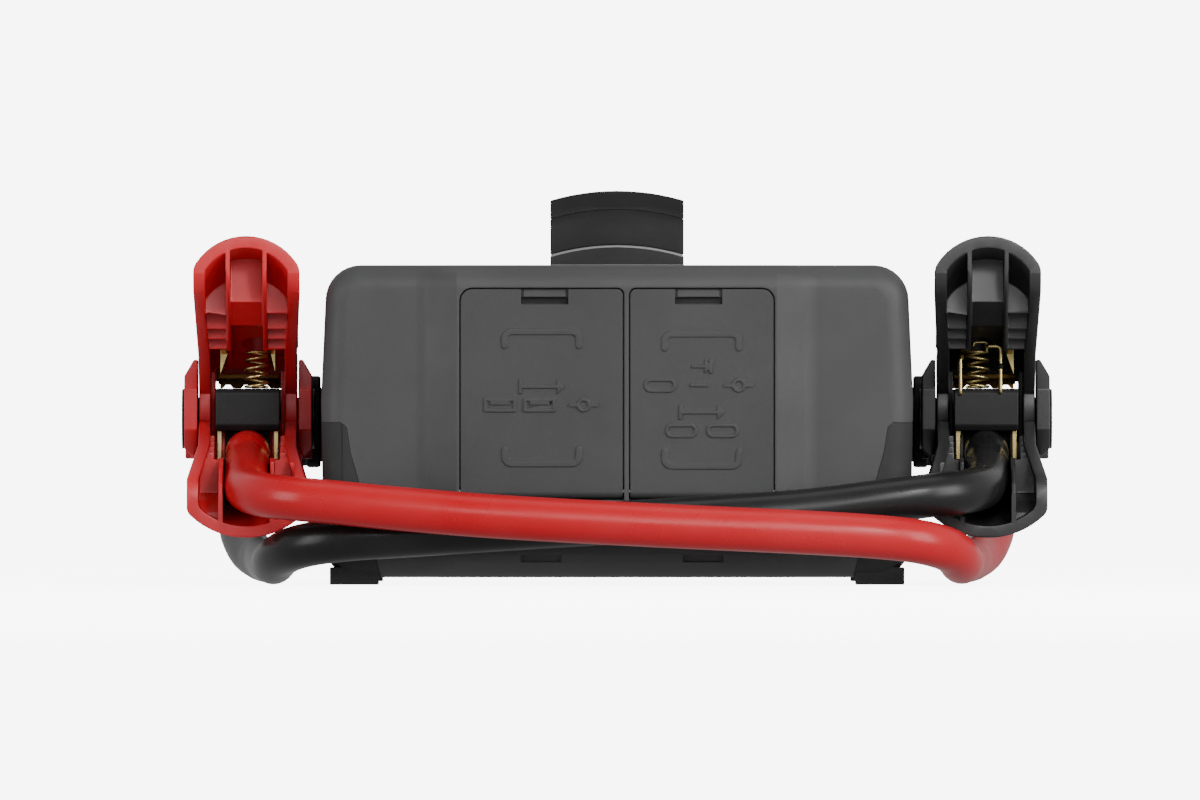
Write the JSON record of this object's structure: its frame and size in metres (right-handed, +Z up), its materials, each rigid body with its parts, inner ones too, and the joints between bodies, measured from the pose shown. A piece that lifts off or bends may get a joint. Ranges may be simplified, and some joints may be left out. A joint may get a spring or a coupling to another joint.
{
  "type": "jump starter pack",
  "caption": "Boxy battery pack with a carrying handle, rubber corner bumpers, hinged port doors, a rear lamp, and two spring clamps docked at its sides on crossed thick leads.",
  "frame": {"origin": "centre of the pack and its docked clamps at floor level, under the feet", "axes": "+X to the right as seen from the port end, +Y from the port end to the lamp end, +Z up"},
  "size_m": [0.2972, 0.2942, 0.134],
  "materials": {
    "case_plastic": "fine grained charcoal moulding",
    "door_plastic": "fine grained charcoal moulding",
    "dark_plastic": "satin black moulding",
    "bumper_rubber": "matt moulded rubber",
    "grip_rubber": "soft matt rubber",
    "button_rubber": "smooth silicone rubber",
    "red_plastic": "semi-gloss moulding",
    "black_plastic": "semi-gloss moulding",
    "block_plastic": "satin moulding",
    "pin_cap": "blackened steel",
    "red_sheath": "smooth flexible sheath",
    "black_sheath": "smooth flexible sheath",
    "brass": "bright drawn brass",
    "steel": "zinc plated",
    "mirror": "bright plated bowls",
    "lens": "clear moulded lens",
    "display": "dark gloss window",
    "board": "green solder mask",
    "cell_can": "blue sleeved cans"
  },
  "bodies": {
    "pack": {"front_cover": "case_plastic", "upper_case": "case_plastic", "lower_case": "case_plastic", "rear_cover": "case_plastic", "front_left_bumper": "bumper_rubber", "front_right_bumper": "bumper_rubber", "rear_left_bumper": "bumper_rubber", "rear_right_bumper": "bumper_rubber", "handle_core": "dark_plastic", "handle_grip": "grip_rubber", "handle_screws": "steel", "case_screws": "steel", "port_panel": "dark_plastic", "port_board": "board", "usb_a_sockets": "steel", "usb_c_sockets": "steel", "dc_sockets": "dark_plastic", "door_hinge_pin": "steel", "control_panel": "dark_plastic", "display_window": "display", "control_board": "board", "lamp_lens": "lens", "lamp_reflector": "mirror", "lamp_board": "board", "battery_cells": "cell_can", "battery_tray": "dark_plastic", "main_board": "board", "power_relay": "dark_plastic", "left_dock": "dark_plastic", "right_dock": "dark_plastic", "red_boot": "bumper_rubber", "black_boot": "bumper_rubber", "red_lower_half": "red_plastic", "red_pivot_pin": "pin_cap", "red_spring": "brass", "red_lower_jaw": "brass", "red_terminal_block": "block_plastic", "black_lower_half": "black_plastic", "black_pivot_pin": "pin_cap", "black_spring": "brass", "black_lower_jaw": "brass", "black_terminal_block": "block_plastic", "red_lead": "red_sheath", "black_lead": "black_sheath"},
    "left_door": {"left_door": "door_plastic"},
    "right_door": {"right_door": "door_plastic"},
    "red_upper_clamp": {"red_upper_half": "red_plastic", "red_upper_jaw": "brass"},
    "black_upper_clamp": {"black_upper_half": "black_plastic", "black_upper_jaw": "brass"},
    "power_button": {"power_button": "button_rubber"},
    "boost_button": {"boost_button": "red_plastic"},
    "lamp_button": {"lamp_button": "button_rubber"}
  },
  "joints": [
    {"name": "left_door_hinge", "type": "hinge", "parent": "pack", "child": "left_door", "pos_m": [-0.02555, -0.1271, 0.0316], "axis": [1, 0, 0], "range_deg": [0, 68]},
    {"name": "right_door_hinge", "type": "hinge", "parent": "pack", "child": "right_door", "pos_m": [0.02875, -0.1271, 0.0316], "axis": [1, 0, 0], "range_deg": [0, 68]},
    {"name": "red_clamp_pivot", "type": "hinge", "parent": "pack", "child": "red_upper_clamp", "pos_m": [-0.1259, -0.042, 0.0595], "axis": [1, 0, 0], "range_deg": [0, 22], "stiffness_Nm_per_rad": 1.5, "springref_deg": -11.46, "deforming": ["red_spring"]},
    {"name": "black_clamp_pivot", "type": "hinge", "parent": "pack", "child": "black_upper_clamp", "pos_m": [0.1259, -0.042, 0.0595], "axis": [1, 0, 0], "range_deg": [0, 22], "stiffness_Nm_per_rad": 1.5, "springref_deg": -11.46, "deforming": ["black_spring"]},
    {"name": "power_button_press", "type": "slide", "parent": "pack", "child": "power_button", "axis": [0, 0, -1], "range_m": [0, 0.0012], "stiffness_N_per_m": 500, "springref_m": -0.001},
    {"name": "boost_button_press", "type": "slide", "parent": "pack", "child": "boost_button", "axis": [0, 0, -1], "range_m": [0, 0.0012], "stiffness_N_per_m": 500, "springref_m": -0.001},
    {"name": "lamp_button_press", "type": "slide", "parent": "pack", "child": "lamp_button", "axis": [0, 0, -1], "range_m": [0, 0.0012], "stiffness_N_per_m": 500, "springref_m": -0.001}
  ]
}
